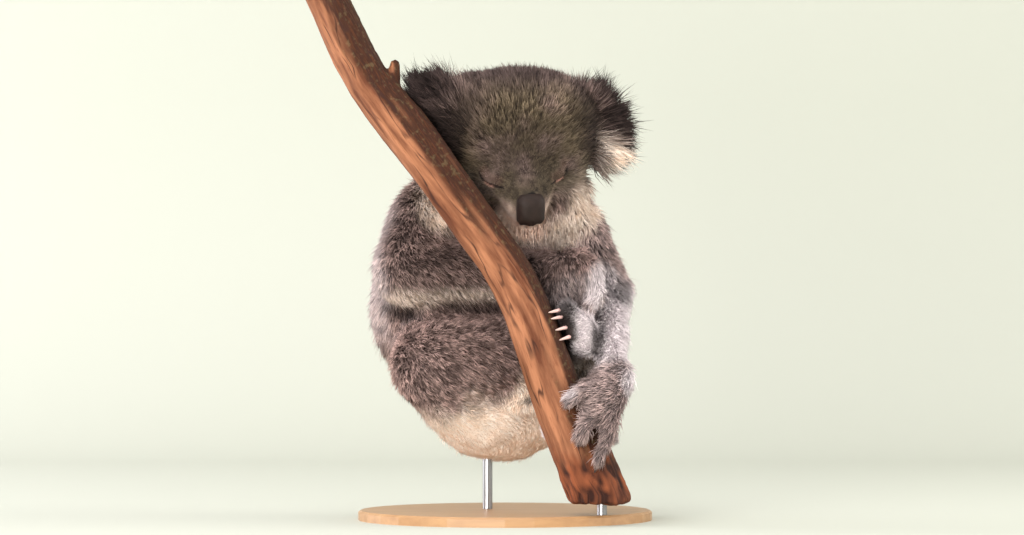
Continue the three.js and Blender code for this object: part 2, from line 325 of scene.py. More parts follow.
def refine(mesh, places, reach):
    """Cuts the faces near the places into four."""
    bm = bmesh.new()
    bm.from_mesh(mesh)
    close = [f for f in bm.faces if any((f.calc_center_median() - p).length < reach for p in places)]
    edges = list({e for f in close for e in f.edges})
    bmesh.ops.subdivide_edges(bm, edges=edges, cuts=1, use_grid_fill=True)
    bmesh.ops.triangulate(bm, faces=bm.faces)
    bm.to_mesh(mesh)
    bm.free()


def keep_largest(mesh):
    """Drops every island of the mesh but the one with the most points."""
    here, there = edges_of(mesh).T
    label, before = np.arange(len(mesh.vertices)), None
    while not np.array_equal(label, before):
        before = label.copy()
        np.minimum.at(label, here, before[there])
        np.minimum.at(label, there, before[here])
        label = label[label]
    kept = label == np.bincount(label).argmax()
    tris = triangles(mesh)
    tris = tris[kept[tris[:, 0]]]
    number = np.cumsum(kept) - 1
    return new_mesh("skin", coords(mesh)[kept], number[tris])


# The bare nose's middle, and how far from it the coat of the face grows from short to long, in millimetres.
NOSE_AT = in_head_mm(middle("nose")[None])[0]
FACE = (26, 92)
EAR_BASE_IN_MM = 27
BESIDE_EARS = (0.048, 0.022)  # from how far and from how near the head's coat is as long as the ears'


def face_growth(points):
    """0 beside the nose and 1 where the head's coat is at its full length."""
    return ramp(length_of(in_head_mm(points) - NOSE_AT), *FACE)


def ear_base(node):
    at = middle(node)
    return at + unit(HEAD - at) * EAR_BASE_IN_MM * MM


def beside_ears(points):
    """1 on the head close to the root of an ear."""
    return ramp(away_from(points, np.array([ear_base(node) for node in EARS])).min(1), *BESIDE_EARS)


# The belly's and the rump's short coat: it ends in a level band that rises to the animal's left.
SHORT_BELOW = (0.045, 0.015)
SHORT_BELOW_RISE = 0.25


def short_below(points, share):
    """1 on the belly and rump, where the coat is short and fine."""
    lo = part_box("trunk")[0]
    over = points[:, 2] - lo.z - SHORT_BELOW_RISE * (points[:, 0] - lo.x)
    return of_kind(share, "trunk", "thigh") * ramp(over, *SHORT_BELOW)


def claws_of(limb):
    return np.array([middle(claw) for claw in CLAWS if claw.startswith("claw_" + limb)])


# How near a claw the coat grows short, and by how much: fur covers the fingers and leaves the toes clear.
BY_CLAWS = (("foot", 0.024, 1.0), ("hand", 0.014, 0.5))


def by_claws(points):
    """1 at the tips of the toes, where the coat is short."""
    short = np.zeros(len(points))
    for limb, reach, most in BY_CLAWS:
        near = ramp(away_from(points, claws_of(limb)).min(1), reach, 0.4 * reach)
        short = np.maximum(short, most * near)
    return short


# How much less deep, and how much shorter, the coat is in three places than its kind's.
LESS_DEEP = {"below": 0.8, "claws": 0.5, "face": 0.72}
SHORTER = {"below": 0.52, "claws": 0.5, "face": 0.74}


def coat_depth(points, share):
    deep = by_kind(share, "deep")
    below = LESS_DEEP["below"] * short_below(points, share)
    deep *= (1 - below) * (1 - LESS_DEEP["claws"] * by_claws(points))
    return deep * (1 - of_node(share, "head") * LESS_DEEP["face"] * (1 - face_growth(points))) * MM


EAR_SHRINK = 0.08


def shrink_ears(co, share):
    """Draws each ear in towards its root, so that the long hair of its rim ends where the solid does."""
    for node in EARS:
        off = co - ear_base(node)
        pull = EAR_SHRINK * of_node(share, node) * ramp(length_of(off), 0.012, 0.05)
        co = co - off * pull[:, None]
    return co


EYE_MM = 7.2
LID_MM = 8.3
EYE_SUNK_MM = 1.6
SLIT_TILT = math.radians(18)
SLIT_BELOW_MM = 5.2
SLIT_SAG = 0.02


def eye_axes(side):
    """The way an eye looks, the way its slit runs out to the temple, and the way over the slit."""
    out = unit([side * 0.42, 0.84, 0.12])
    slit = np.array([side * math.cos(SLIT_TILT), 0, math.sin(SLIT_TILT)])
    slit = unit(slit - out * (slit @ out))
    over = np.cross(out, slit)
    return out, slit, over * np.sign(over[2])


def eye_middle(side):
    """The middle of an eye's ball in the head's axes, in millimetres."""
    return in_head_mm(middle(EYES[side < 0])[None])[0] - eye_axes(side)[0] * EYE_SUNK_MM


def slit_place(h, side):
    """Where points of the head lie beside a shut eye, in millimetres: out along its slit, over the line
    where the lids meet, away from the ball's middle, and ahead of it."""
    off = h - eye_middle(side)
    out, slit, over = eye_axes(side)
    u = off @ slit
    return u, off @ over + SLIT_BELOW_MM - SLIT_SAG * u * u, length_of(off), off @ out


def mouth_place(h):
    """How far points lie above the line of the mouth, and how far aside, in millimetres."""
    line = -57 + 0.014 * h[:, 0] ** 2
    return h[:, 2] - line, np.abs(h[:, 0])


def bump(x, width):
    return np.exp(-((x / width) ** 2))


def sculpt_face(mesh):
    """Lids over the eyes, with their slit and folds, and the mouth."""
    h = in_head_mm(coords(mesh))
    for side in (1, -1):
        u, v, away, ahead = slit_place(h, side)
        shown = ramp(ahead / np.maximum(away, 1), 0.0, 0.45) * (away < 22)
        lid = 0.5 * (away + LID_MM + np.sqrt((away - LID_MM) ** 2 + 3.0))
        within = ramp(np.abs(u), 9.5, 7.0)
        lid += within * (0.45 * bump(np.abs(v) - 2.1, 1.0) - 2.0 * bump(v, 1.1))
        lid -= 1.1 * ramp(np.abs(u), 16, 11) * bump(v, 1.2)
        lid -= ramp(np.abs(u), 13, 8) * (0.8 * bump(v - 6.0, 1.3) + 0.6 * bump(v + 4.4, 1.2))
        grow = 1 + shown * (lid / np.maximum(away, 1) - 1)
        h += (h - eye_middle(side)) * (grow - 1)[:, None]
    over, aside = mouth_place(h)
    front = ramp(h[:, 1], 36, 50) * ramp(aside, 33, 26)
    move_in = front * (2.4 * bump(over, 1.3) - 0.9 * bump(over - 3.4, 2.2) - 0.9 * bump(over + 3.6, 2.2))
    flesh = normals(mesh) * MM
    move(mesh, HEAD + h * MM @ HEAD_AXES - flesh * move_in[:, None])


def remeshed(obj, voxel):
    """The piece's mesh, made again in even squares."""
    remesh = obj.modifiers.new("one surface", "REMESH")
    remesh.mode = "VOXEL"
    remesh.voxel_size = voxel
    return after_modifiers(obj)


def one_surface(obj):
    """The skin's outer surface as one even mesh, without the hollows inside it."""
    obj.data = keep_largest(remeshed(obj, VOXEL))
    return obj.data


def carried(mesh, old_co, values):
    """Values of an older mesh's points, read at the nearest points of a new one and evened out."""
    return eased(values[nearest_of(old_co, coords(mesh))], mesh, 3)


def make_skin():
    skin = show("skin", joined_flesh())
    mesh = one_surface(skin)
    share = nearness(coords(mesh))
    even = by_kind(share, "even")[:, None]
    share_on, back = KEEP_FORM
    co = eased(coords(mesh), mesh, FORM_ROUNDS, share_on * even, back * even)
    co = eased(co, mesh, 8, 0.5 * even)
    move(mesh, shrink_ears(co, share))

    deep = (coat_depth(coords(mesh), share) + by_kind(share, "swell") * MM)[:, None]
    for _ in range(STEPS_IN):
        co = coords(mesh) - normals(mesh) * deep / STEPS_IN
        move(mesh, eased(co, mesh, STEP_ROUNDS, 0.4, 0.38))

    before = coords(mesh)
    mesh = one_surface(skin)
    ease(mesh, SKIN_ROUNDS, *KEEP_FORM)
    even = by_kind(carried(mesh, before, share), "even", 3)[:, None]
    ease(mesh, SKIN_ROUNDS, 0.5 * even)
    refine(mesh, [Vector(middle(n)) for n in (*EYES, "nose")], FINE_WITHIN)
    ease(mesh, 3, 0.5, 0.5)
    share = carried(mesh, before, share)
    sculpt_face(mesh)
    mesh.shade_smooth()
    return skin, share


def unwrap(obj):
    """An unwrap of the piece's own shape."""
    bpy.ops.object.select_all(action="DESELECT")
    obj.select_set(True)
    bpy.context.view_layer.objects.active = obj
    obj.data.uv_layers.new(name="OFBake")
    bpy.ops.object.mode_set(mode="EDIT")
    bpy.ops.mesh.select_all(action="SELECT")
    bpy.ops.uv.smart_project(angle_limit=math.radians(60), island_margin=0.002)
    bpy.ops.object.mode_set(mode="OBJECT")


skin, share = make_skin()
belongs(skin, "fur", *FLESH)
unwrap(skin)

# ---- the lie of the coat

DOWN = np.array([0, 0, -1.0])


def limb_way(node):
    """The way a limb's next part lies, with a little of the coat's hang."""
    after = {"upper_arm": "forearm", "forearm": "hand", "thigh": "lower_leg", "lower_leg": "foot"}
    side = node.rsplit("_", 1)[1]
    return unit(unit(middle(after[kind(node)] + "_" + side) - middle(node)) + 0.9 * DOWN)


def way_of(node, points):
    """The way the coat of one node lies, at each point or all over."""
    if node == "head":
        return unit(points - middle("nose"))
    if node.startswith("ear"):
        return unit(points - ear_base(node))
    if node == "neck":
        return unit([0, 0.25, -1.0])
    if node == "trunk":
        lo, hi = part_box("trunk")
        tail = np.array([(lo.x + hi.x) / 2, lo.y * 0.35 + hi.y * 0.65, lo.z + 0.035])
        return unit(tail - points)
    if node.startswith(("hand", "foot")):
        tips = claws_of(node)
        return unit(tips[away_from(points, tips).argmin(1)] - points)
    return limb_way(node)


def along_skin(way, normal):
    return unit(way - normal * (way * normal).sum(1, keepdims=True))


def lie_of_coat(mesh, share):
    """The way the coat lies at each point of the skin, changing evenly from one point to the next."""
    points, normal = coords(mesh), normals(mesh)
    way = sum(share[:, i, None] * way_of(node, points) for i, node in enumerate(FLESH))
    for _ in range(LIE_ROUNDS):
        way = eased(along_skin(way, normal), mesh, 1, 0.6)
    return along_skin(way, normal)


# ---- the coat's markings


def noise(points, size, seed):
    """A smooth chance value from 0 to 1 that changes over about the size given, in metres."""
    table = np.random.default_rng(seed).random(4096)
    q = points / size + 64
    cell = np.floor(q).astype(int)
    t = ramp(q - cell, 0, 1)
    total = 0
    for corner in np.ndindex(2, 2, 2):
        value = table[(cell + corner) @ (73, 179, 283) % 4096]
        total = total + value * np.where(corner, t, 1 - t).prod(1)
    return total


def in_box(points, node):
    """The points as shares of a node's box: across, in depth and up."""
    lo, hi = (np.array(corner, float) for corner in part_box(node))
    return ((points - lo) / (hi - lo)).T


def spot(points, normal, node, across, up, wide, high, behind=-0.1):
    """A soft mark on the front of the body. Its middle is given as shares of the node's box, and its half
    width and half height in metres."""
    lo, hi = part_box(node)
    x, z = lo.x + across * (hi.x - lo.x), lo.z + up * (hi.z - lo.z)
    off = np.hypot((points[:, 0] - x) / wide, (points[:, 2] - z) / high)
    return ramp(off, 1.3, 0.7) * ramp(-normal[:, 1], behind, behind + 0.3)


# The small marks of the coat: node, across, up, half width, half height and strength. The dark ones are
# partly darker fur on the right arm and partly painted shadow in the gaps between parts: beside the head by
# the ear and the branch, around the right foot and under the right hand. The last value of the dark ones
# says how far round the body they reach: they end on faces that look ahead by less than this.
WHITE_SPOTS = (
    ("upper_arm_right", 0.63, 0.75, 0.022, 0.026, 0.9),
    ("neck", 0.92, 0.4, 0.017, 0.024, 0.75),
    ("neck", 0.8, 0.25, 0.018, 0.018, 0.75),
)
DARK_FUR_AND_SHADOW_SPOTS = (
    ("upper_arm_right", 0.25, 0.7, 0.034, 0.044, 0.5, -0.1),
    ("forearm_right", 0.36, 0.71, 0.02, 0.014, 0.65, -0.1),
    ("forearm_right", 0.36, 0.66, 0.05, 0.034, 0.4, -0.1),
    ("trunk", 0.78, 0.235, 0.008, 0.006, 0.8, -0.1),
    ("upper_arm_left", 0.845, 0.13, 0.007, 0.012, 0.6, -0.1),
    # painted shadow between the head, its ear and the branch
    ("head", 0.1, 0.56, 0.018, 0.034, 0.95, -0.1),
    # painted shadow in the gap between the right foot and the forearm over it
    ("foot_right", 0.0, 0.94, 0.01, 0.012, 0.9, -0.1),
    ("foot_right", 0.2, 0.48, 0.016, 0.03, 1.0, -0.9),
    # painted shadow in the gaps beside and under the right foot, and under the right hand
    ("foot_right", 0.95, 0.3, 0.006, 0.03, 0.8, -0.1),
    ("foot_right", 0.45, -0.1, 0.03, 0.016, 0.7, -0.9),
    ("hand_right", 0.4, 0.16, 0.024, 0.014, 0.9, -0.9),
)
PALE_SPOTS = (
    ("hand_left", 1.0, 0.78, 0.013, 0.02, 1.0),
    ("hand_right", 0.9, 0.5, 0.016, 0.024, 0.9),
    ("hand_right", 0.6, 0.08, 0.02, 0.006, 0.7),
    ("hand_right", 0.66, 0.4, 0.03, 0.022, 0.3),
    ("hand_left", 0.12, 0.72, 0.012, 0.01, 0.85),
)


def ear_marks(points, normal, share, node, most):
    """The white hair inside an ear and the dark lock between it and the cheek."""
    across, _, up = in_box(points, node)
    if node == "ear_right":
        across = 1 - across
    ear = of_node(share, node)
    beside = ear + of_node(share, "head") * ramp(across, -0.3, 0.0)
    ragged = 0.16 * (noise(points, 0.006, 11) - 0.5) + 0.2 * (noise(points, 0.014, 12) - 0.5)
    ahead = ramp(-normal[:, 1], -0.35, 0.15)
    under = ramp(up + 0.15 * across + ragged, 0.56, 0.4)
    lock = across - (0.2 + 0.8 * (0.3 - up))
    white = most * ear * ahead * under * ramp(lock + 0.6 * ragged, -0.12, 0.06)
    return white, beside * ahead * ramp(up, 0.42, 0.28) * bump(lock + 0.6 * ragged, 0.16)


MARKS = ("cream", "dark", "warm", "pale", "pink", "tipped")


class Marks(dict):
    """How strong each mark is at every point. One laid on another leaves each point the stronger."""

    def lay(self, **more):
        for mark, strength in more.items():
            self[mark] = np.maximum(self[mark], strength)


def mark_face(marks, h, head):
    """Lays on the head's own marks, by place in its axes, and a painted shadow under the right eye."""
    lay = marks.lay
    aside, forward, up = np.abs(h[:, 0]), h[:, 1], h[:, 2]
    lay(cream=0.12 * head * ramp(-up, 2, 30) * ramp(aside, 20, 42))
    lay(dark=0.8 * head * ramp(aside, 42, 62) * ramp(up, -5, 16))
    lay(dark=0.75 * head * ramp(up - 0.5 * forward, 44, 66))
    lay(dark=0.4 * head * ramp(forward, 25, 50) * ramp(up, -25, -8))
    muzzle = head * ramp(forward, 56, 72) * ramp(-up, 12, 30)
    lay(cream=muzzle * (0.3 + 0.5 * ramp(-up, 26, 44)))
    lay(pink=muzzle * (0.16 + 0.24 * ramp(-up, 30, 46)))
    lay(cream=0.6 * muzzle * bump(aside - 19, 3))

    for side in (1, -1):
        u, v, away, ahead = slit_place(h, side)
        near = ramp(away, 22, 17) * (ahead > 0)
        over_lid = near * ramp(np.abs(v - 6), 8, 3) * ramp(np.abs(u), 17, 9)
        lay(pink=0.07 * over_lid)
        lay(dark=0.25 * over_lid)
        rim = near * bump(v + 2.2, 0.9) * ramp(np.abs(u + 2), 8, 4)
        lay(pink=0.45 * rim)
        lay(dark=0.3 * near * bump(v + 1, 4) * ramp(np.abs(u), 16, 11))
        marks["dark"] *= 1 - 0.8 * rim
        lay(dark=near * bump(v, 1.5) * ramp(u, 16, 11) * ramp(-u, 20, 15))
        # Painted shadow under the right eye, on the side of the branch.
        if side < 0:
            lay(dark=0.5 * near * ramp(np.abs(v + 8), 6, 2) * ramp(np.abs(u), 15, 8))
    over, aside = mouth_place(h)
    lips = ramp(forward, 40, 55) * ramp(aside, 27, 20) * ramp(over, 17, 10) * ramp(over, -14, -8)
    lay(cream=lips)
    lay(pink=0.3 * lips)
    marks["dark"] *= 1 - lips
    lay(dark=0.7 * lips * bump(over, 1.1))


def markings(points, normal, share):
    """How much of each of the coat's colours every point has, from 0 to 1; a few of the dark marks are
    painted shade, and some of the pale is a painted rim light.
    """
    marks = Marks.fromkeys(MARKS, 0.0)
    lay = marks.lay
    part = {k: of_kind(share, k) for k in BODY}
    h = in_head_mm(points)
    x, y, z = points.T
    drift = noise(points, 0.03, 3) - 0.5
    fine = noise(points, 0.009, 4) - 0.5

    lo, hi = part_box("trunk")
    across = x - (lo.x + hi.x) / 2
    body = part["trunk"] + part["thigh"] + 0.8 * part["lower_leg"]
    edge = lo.z + 0.051 + 0.018 * ramp(across, -0.027, 0.003) + 0.05 * ramp(across, 0.023, 0.073)
    edge += 0.055 * ramp(across, -0.056, -0.09)
    lay(cream=body * ramp(z - edge + 0.024 * drift + 0.018 * fine, 0.018, -0.018))
    front = part["neck"] + part["head"] + part["trunk"] * ramp(z - lo.z, 0.165, 0.195)
    under_jaw = -66 + 0.43 * np.abs(h[:, 0]) + 8 * drift
    throat = front * ramp(h[:, 2], under_jaw + 3, under_jaw - 4) * ramp(-normal[:, 1], -0.3, 0.15)
    throat *= 0.62 * ramp(y, 0.06, 0.03) * ramp(np.abs(h[:, 0]), 90, 74)
    # Painted shade: the cream stops above the lower throat, which is left grey-brown as in the shadow of
    # the chin and the arms.
    throat *= ramp(in_box(points, "neck")[2] + 0.08 * drift, 0.11, 0.17)
    lay(cream=throat)
    arm_right = of_node(share, "forearm_right", "upper_arm_right")
    hem = arm_right * ramp(normal[:, 2], -0.35, -0.75)
    lay(cream=0.5 * hem * ramp(-normal[:, 1], -0.5, -0.1))
    mark_face(marks, h, part["head"])
    # Painted shade: a dark line, with the cream taken out, in the crease where the right arm meets the body
    # along its lower edge.
    low_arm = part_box("forearm_right")[0].z
    shaded_crease = np.clip(6 * arm_right * (part["trunk"] + part["thigh"]), 0, 1)
    shaded_crease *= ramp(z - low_arm, 0.022, 0.008) * ramp(-normal[:, 1], -0.6, -0.2)
    marks["cream"] *= 1 - 0.8 * shaded_crease
    lay(dark=0.9 * shaded_crease)
    for *where, much in WHITE_SPOTS:
        lay(cream=much * (1 - part["head"]) * spot(points, normal, *where))

    lay(dark=0.5 * part["thigh"] * ramp(normal[:, 2], 0.3, 0.8) * (1 - marks["cream"]))
    lay(dark=part["ear"] * 0.96)
    # Painted shade: the right ear keeps only a trace of its inner white, so that it stays dark as if in
    # shadow.
    for node, most in (("ear_left", 1.0), ("ear_right", 0.2)):
        white, lock = ear_marks(points, normal, share, node, most)
        lay(cream=white)
        marks["dark"] *= 1 - white
        lay(dark=0.85 * lock)
    lay(dark=0.95 * part["head"] * beside_ears(points))
    lay(dark=0.13 * part["hand"])
    # Darker fur, and painted shadow in the gaps between parts.
    for *where, much, behind in DARK_FUR_AND_SHADOW_SPOTS:
        lay(dark=much * spot(points, normal, *where, behind))

    olive = np.clip(0.95 + 1.3 * (noise(points, 0.02, 14) - 0.5) + 0.6 * fine, 0, 1)
    marks["warm"] = 1 - part["head"] * ramp(h[:, 1], -28, 12) * olive
    left_arm = of_node(share, "forearm_left") + of_node(share, "upper_arm_left") * 0.15
    marks["pale"] = np.clip(left_arm + 0.95 * part["foot"] + 0.16 * part["hand"], 0, 1)
    for *where, much in PALE_SPOTS:
        lay(pale=much * spot(points, normal, *where, -0.5))

    # Painted rim light: the faces of the body and arms that turn towards -x, above the rump, are paled as
    # if lit from behind on that side.
    rim_lit_flank = part["trunk"] + part["upper_arm"] + part["forearm"]
    lay(pale=0.4 * rim_lit_flank * ramp(-normal[:, 0], 0.6, 0.95) * ramp(z - lo.z, 0.11, 0.16))
    over_branch = of_node(share, "hand_right", "forearm_right")
    along = in_box(points, "hand_right")[0]
    lay(dark=0.6 * over_branch * ramp(along, 0.8, 0.4) * ramp(along, -0.3, 0.1))
    tipped = part["hand"] + part["foot"] + over_branch + 0.8 * part["thigh"]
    marks["tipped"] = np.clip(tipped + 0.5 * part["upper_arm"] + 0.4 * part["head"], 0, 1)
    return marks


# ---- the coat

PIECE_LIMIT = 190000  # triangles in one piece of the coat
PATCH = 0.003  # a tuft's width on the map
LOWEST_ROOT = 0.012
THIN_MM, THICKER_MM = 0.2, 0.28  # a short tuft's thickness, and how much more a long one has
ROOT_IN = 0.0006  # how far under the skin a tuft starts
SWING = 0.26  # how far tufts turn aside at random, and how far they lift, in radians
LIFT = 0.12
STRAYS, EAR_STRAYS = 0.1, 0.12  # the shares of tufts that stand out, and more of them on the ears


def length_at(points, share):
    """The length of the tufts in millimetres."""
    long = by_kind(share, "long")
    h = in_head_mm(points)
    head = of_node(share, "head")
    long *= 1 - head * SHORTER["face"] * (1 - face_growth(points))
    crown = np.maximum(ramp(h[:, 2] - 0.5 * h[:, 1], 36, 66), ramp(np.abs(h[:, 0]), 44, 64))
    long *= 1 + head * np.maximum(0.75 * crown, 1.9 * beside_ears(points))
    long *= 1 - SHORTER["below"] * short_below(points, share)
    long *= 1 - SHORTER["claws"] * by_claws(points)
    for side in (1, -1):
        long *= 1 - ramp(slit_place(h, side)[2], 17, 9) * 0.6
    return long


def fringe(points, normal):
    """1 under the right hand, where longer hair hangs over the foot."""
    return spot(points, normal, "hand_right", 0.42, 0.2, 0.02, 0.022, -0.9)


def bare_at(points):
    """1 where no coat grows: the lids' edges, the lips and the skin under the nose."""
    h = in_head_mm(points)
    bare = np.zeros(len(points))
    for side in (1, -1):
        u, v, away, ahead = slit_place(h, side)
        near = (away < 21) & (ahead > 0)
        lid = (v < 1.4) & (v > -2.7 + 0.01 * u * u) & (np.abs(u) < 11)
        bare = np.maximum(bare, near * (lid | (np.abs(v) < 1.2) & (u < 13) & (u > -18)))
    over, aside = mouth_place(h)
    bare = np.maximum(bare, (np.abs(over) < 1.6) * (aside < 24) * (h[:, 1] > 45))
    q = (h - NOSE_AT) / np.array([13.5, 14, 17.5])
    return np.maximum(bare, length_of(q) < 1)


def scatter(mesh, dense):
    """Roots over the skin, evenly spread by each triangle's area: the triangle and the place in it."""
    tris, loops = triangles(mesh), triangles(mesh, "loops")
    a, b, c = coords(mesh)[tris.T]
    area = length_of(np.cross(b - a, c - a)) / 2
    wanted = np.cumsum(area * dense[tris].mean(1) / MM**2)
    picks = np.arange(int(wanted[-1])) + rng.random(int(wanted[-1]))
    face = np.minimum(np.searchsorted(wanted, picks), len(tris) - 1)
    r = np.sqrt(rng.random(len(face)))
    t = rng.random(len(face))
    inside = np.stack([1 - r, r * (1 - t), r * t], 1)
    return tris[face], loops[face], inside


def blend(values, tris, inside):
    """Values kept at the mesh's points, read at places inside its triangles."""
    return (values[tris] * (inside if values.ndim == 1 else inside[:, :, None])).sum(1)


LOCK_WITHIN = (0.011, 0.004)  # from how far and from how near a lock takes in a tuft
CLEAR_BY = 0.0004


def gather(root, normal, tip, clump_mm, pull):
    """Draws the tips of neighbouring tufts into locks. Gives the tips, and the tuft that each follows."""
    chosen = rng.random(len(root)) < 1 / np.maximum(clump_mm, 1)
    seeds = np.flatnonzero(chosen)
    nearest = seeds[nearest_of(root[seeds], root)]
    same = (normal * normal[nearest]).sum(1) > 0.4
    close = ramp(length_of(root - root[nearest]), *LOCK_WITHIN)
    return tip + (tip[nearest] - tip) * (pull * same * close)[:, None], nearest


def outside(tree, points):
    """Which points are clear of a closed body."""
    clear = np.ones(len(points), bool)
    for i, p in enumerate(points.tolist()):
        at, normal, _, _ = tree.find_nearest(p, LOOK_WITHIN)
        if at is not None and (Vector(p) - at).dot(normal) < CLEAR_BY:
            clear[i] = False
    return clear


def hard_bodies():
    """The bodies that no tuft may enter, to search for the nearest of their faces."""
    nodes = [n for n in frame["nodes"] if n in ("branch", "nose") or n.startswith("stand_")]
    meshes = [frame["nodes"][node].data for node in nodes]
    return tree_of(*joined([(coords(mesh), triangles(mesh)) for mesh in meshes]))


# The two forms of a tuft: where its first stretch ends, its rings with their widths, and for each of its
# points how far along it is and where in the tuft's patch of the map.
BENT = {
    "to": "mid",
    "rings": {"root": 0.85, "mid": 1.0},
    "along": [0, 0, 0, 0.55, 0.55, 0.55, 1],
    "patch": [[-0.5, -0.5], [0.5, -0.5], [0, -0.4], [-0.35, 0], [0.35, 0], [0, 0.1], [0, 0.5]],
}
STRAIGHT = {
    "to": "tip",
    "rings": {"root": 1.0},
    "along": [0, 0, 0, 1],
    "patch": [[-0.5, -0.5], [0.5, -0.5], [0, -0.4], [0, 0.5]],
}
BENT_FROM = 11 * MM  # shorter tufts are straight


def spikes(t, form):
    """Closed thin tufts of three sides: points and triangles."""
    other = np.cross(unit(t[form["to"]] - t["root"]), t["side"])
    points = []
    for at, wide in form["rings"].items():
        for turn in range(3):
            angle = turn * math.tau / 3
            way = t["side"] * math.cos(angle) + other * math.sin(angle)
            points.append(t[at] + way * (t["thick"] * wide)[:, None])
    top = len(points)
    co = np.stack(points + [t["tip"]], 1)
    faces = [(2, 1, 0)]
    for i, j in ((0, 1), (1, 2), (2, 0)):
        for r in range(0, top - 3, 3):
            faces += [(r + i, r + j, r + 3 + j), (r + i, r + 3 + j, r + 3 + i)]
        faces.append((top - 3 + i, top - 3 + j, top))
    faces = (np.arange(len(co))[:, None, None] * (top + 1) + np.array(faces)).reshape(-1, 3)
    return co.reshape(-1, 3), faces


def coat_piece(name, material, tufts, marks):
    """One piece of the coat from its tufts, which are bent where they are long."""
    bent = tufts["long"] > BENT_FROM
    parts, values, uv = [], {k: [] for k in ("along", *marks)}, []
    for chosen, form in ((bent, BENT), (~bent, STRAIGHT)):
        t = {k: v[chosen] for k, v in tufts.items()}
        parts.append(spikes(t, form))
        values["along"].append(np.tile(form["along"], len(t["root"])))
        for key, value in marks.items():
            values[key].append(np.repeat(value[chosen], len(form["along"])))
        spread = t["uv"][:, None] + np.array(form["patch"], float) * PATCH
        uv.append(np.clip(spread, 0, 1).reshape(-1, 2))
    co, faces = joined(parts)
    mesh = new_mesh(name, co, faces)
    store(mesh, **{k: np.concatenate(v) for k, v in values.items()})
    layer = mesh.uv_layers.new(name="OFBake")
    layer.data.foreach_set("uv", np.concatenate(uv)[faces.ravel()].astype(np.float32).ravel())
    mesh.shade_smooth()
    paint(belongs(show(name, mesh), "fur"), material)


# The pieces of the coat, by how the names of the nodes that they cover start.
GROUPS = {
    "coat_head": ("head",),
    "coat_ears": EARS,
    "coat_body": ("trunk", "neck"),
    "coat_arm_right": ("upper_arm_right", "forearm_right"),
    "coat_arm_left": ("upper_arm_left", "forearm_left"),
    "coat_legs": ("thigh", "lower_leg"),
    "coat_paws": ("hand", "foot"),
}


def mark_skin(mesh, by_eyes):
    """Keeps the markings on the skin, with soft edges except by the eyes, and gives them for its coat."""
    co = coords(mesh)
    marks = markings(co, normals(mesh), share)
    sharp = np.column_stack(list(marks.values()))
    softened = eased(sharp, mesh, 3)
    marks = dict(zip(marks, (softened + (sharp - softened) * by_eyes[:, None]).T))
    # The skin takes the coat's painted root shade, except where it is bare and pink: on the lids' rims and
    # the lips.
    shown = 0.8 * eased(bare_at(co)[:, None], mesh, 1)[:, 0] * ramp(marks["pink"], 0.12, 0.3)
    store(mesh, along=shown, chance=noise(co, 0.004, 9) * (1 - bare_at(co)), **marks)
    return marks


def pieces_of_coat(tufts, marks, owner, material):
    """The coat in pieces below the limit, each group of nodes from below upwards. The owner of a tuft is
    the number of its node."""
    cost = np.where(tufts["long"] > BENT_FROM, 10, 4)
    for name, starts in GROUPS.items():
        here = np.isin(owner, [i for i, node in enumerate(FLESH) if node.startswith(starts)])
        order = np.flatnonzero(here)
        order = order[np.argsort(tufts["root"][order, 2], kind="stable")]
        used = np.cumsum(cost[order])
        count = math.ceil(used[-1] / PIECE_LIMIT)
        for i in range(count):
            chunk = order[(used > used[-1] * i / count) & (used <= used[-1] * (i + 1) / count)]
            title = name if count == 1 else f"{name}_{i + 1}"
            picked, colours = ({k: v[chunk] for k, v in values.items()} for values in (tufts, marks))
            coat_piece(title, material, picked, colours)


